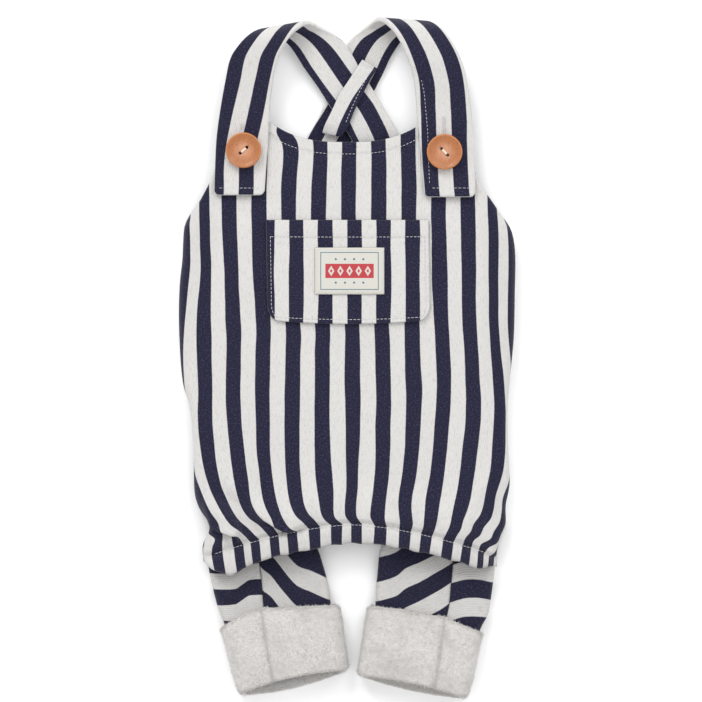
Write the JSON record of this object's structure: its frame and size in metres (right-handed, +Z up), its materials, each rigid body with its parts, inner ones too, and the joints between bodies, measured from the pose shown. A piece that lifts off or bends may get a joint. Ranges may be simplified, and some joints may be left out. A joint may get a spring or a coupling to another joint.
{
  "type": "pet bib dungarees",
  "caption": "Striped cotton bib dungarees for a small dog, laid out flat, with crossed button straps, a patch pocket, a gathered hem and turned-up fleece cuffs.",
  "frame": {"origin": "middle of the laid-out garment's underside, on the surface that it lies on", "axes": "+X to the right as one looks down on the bib, +Y from the cuffs to the straps, +Z up from the surface, out of the bib"},
  "size_m": [0.1854, 0.375, 0.0223],
  "materials": {
    "striped_cotton": "brushed cotton with navy and off-white stripes",
    "fleece": "off-white short-pile fleece",
    "label_cloth": "woven tape",
    "button_wood": "lacquered"
  },
  "bodies": {
    "root": {"front_panel": "striped_cotton", "front_hem": "striped_cotton", "back_panel": "striped_cotton", "pocket": "striped_cotton", "label": "label_cloth", "strap_left": "striped_cotton", "strap_right": "striped_cotton", "strap_keeper": "striped_cotton", "leg_left_outer": "striped_cotton", "leg_left_inner": "striped_cotton", "leg_right_outer": "striped_cotton", "leg_right_inner": "striped_cotton", "cuff_left": "fleece", "cuff_right": "fleece", "button_left": "button_wood", "button_right": "button_wood"}
  },
  "joints": []
}
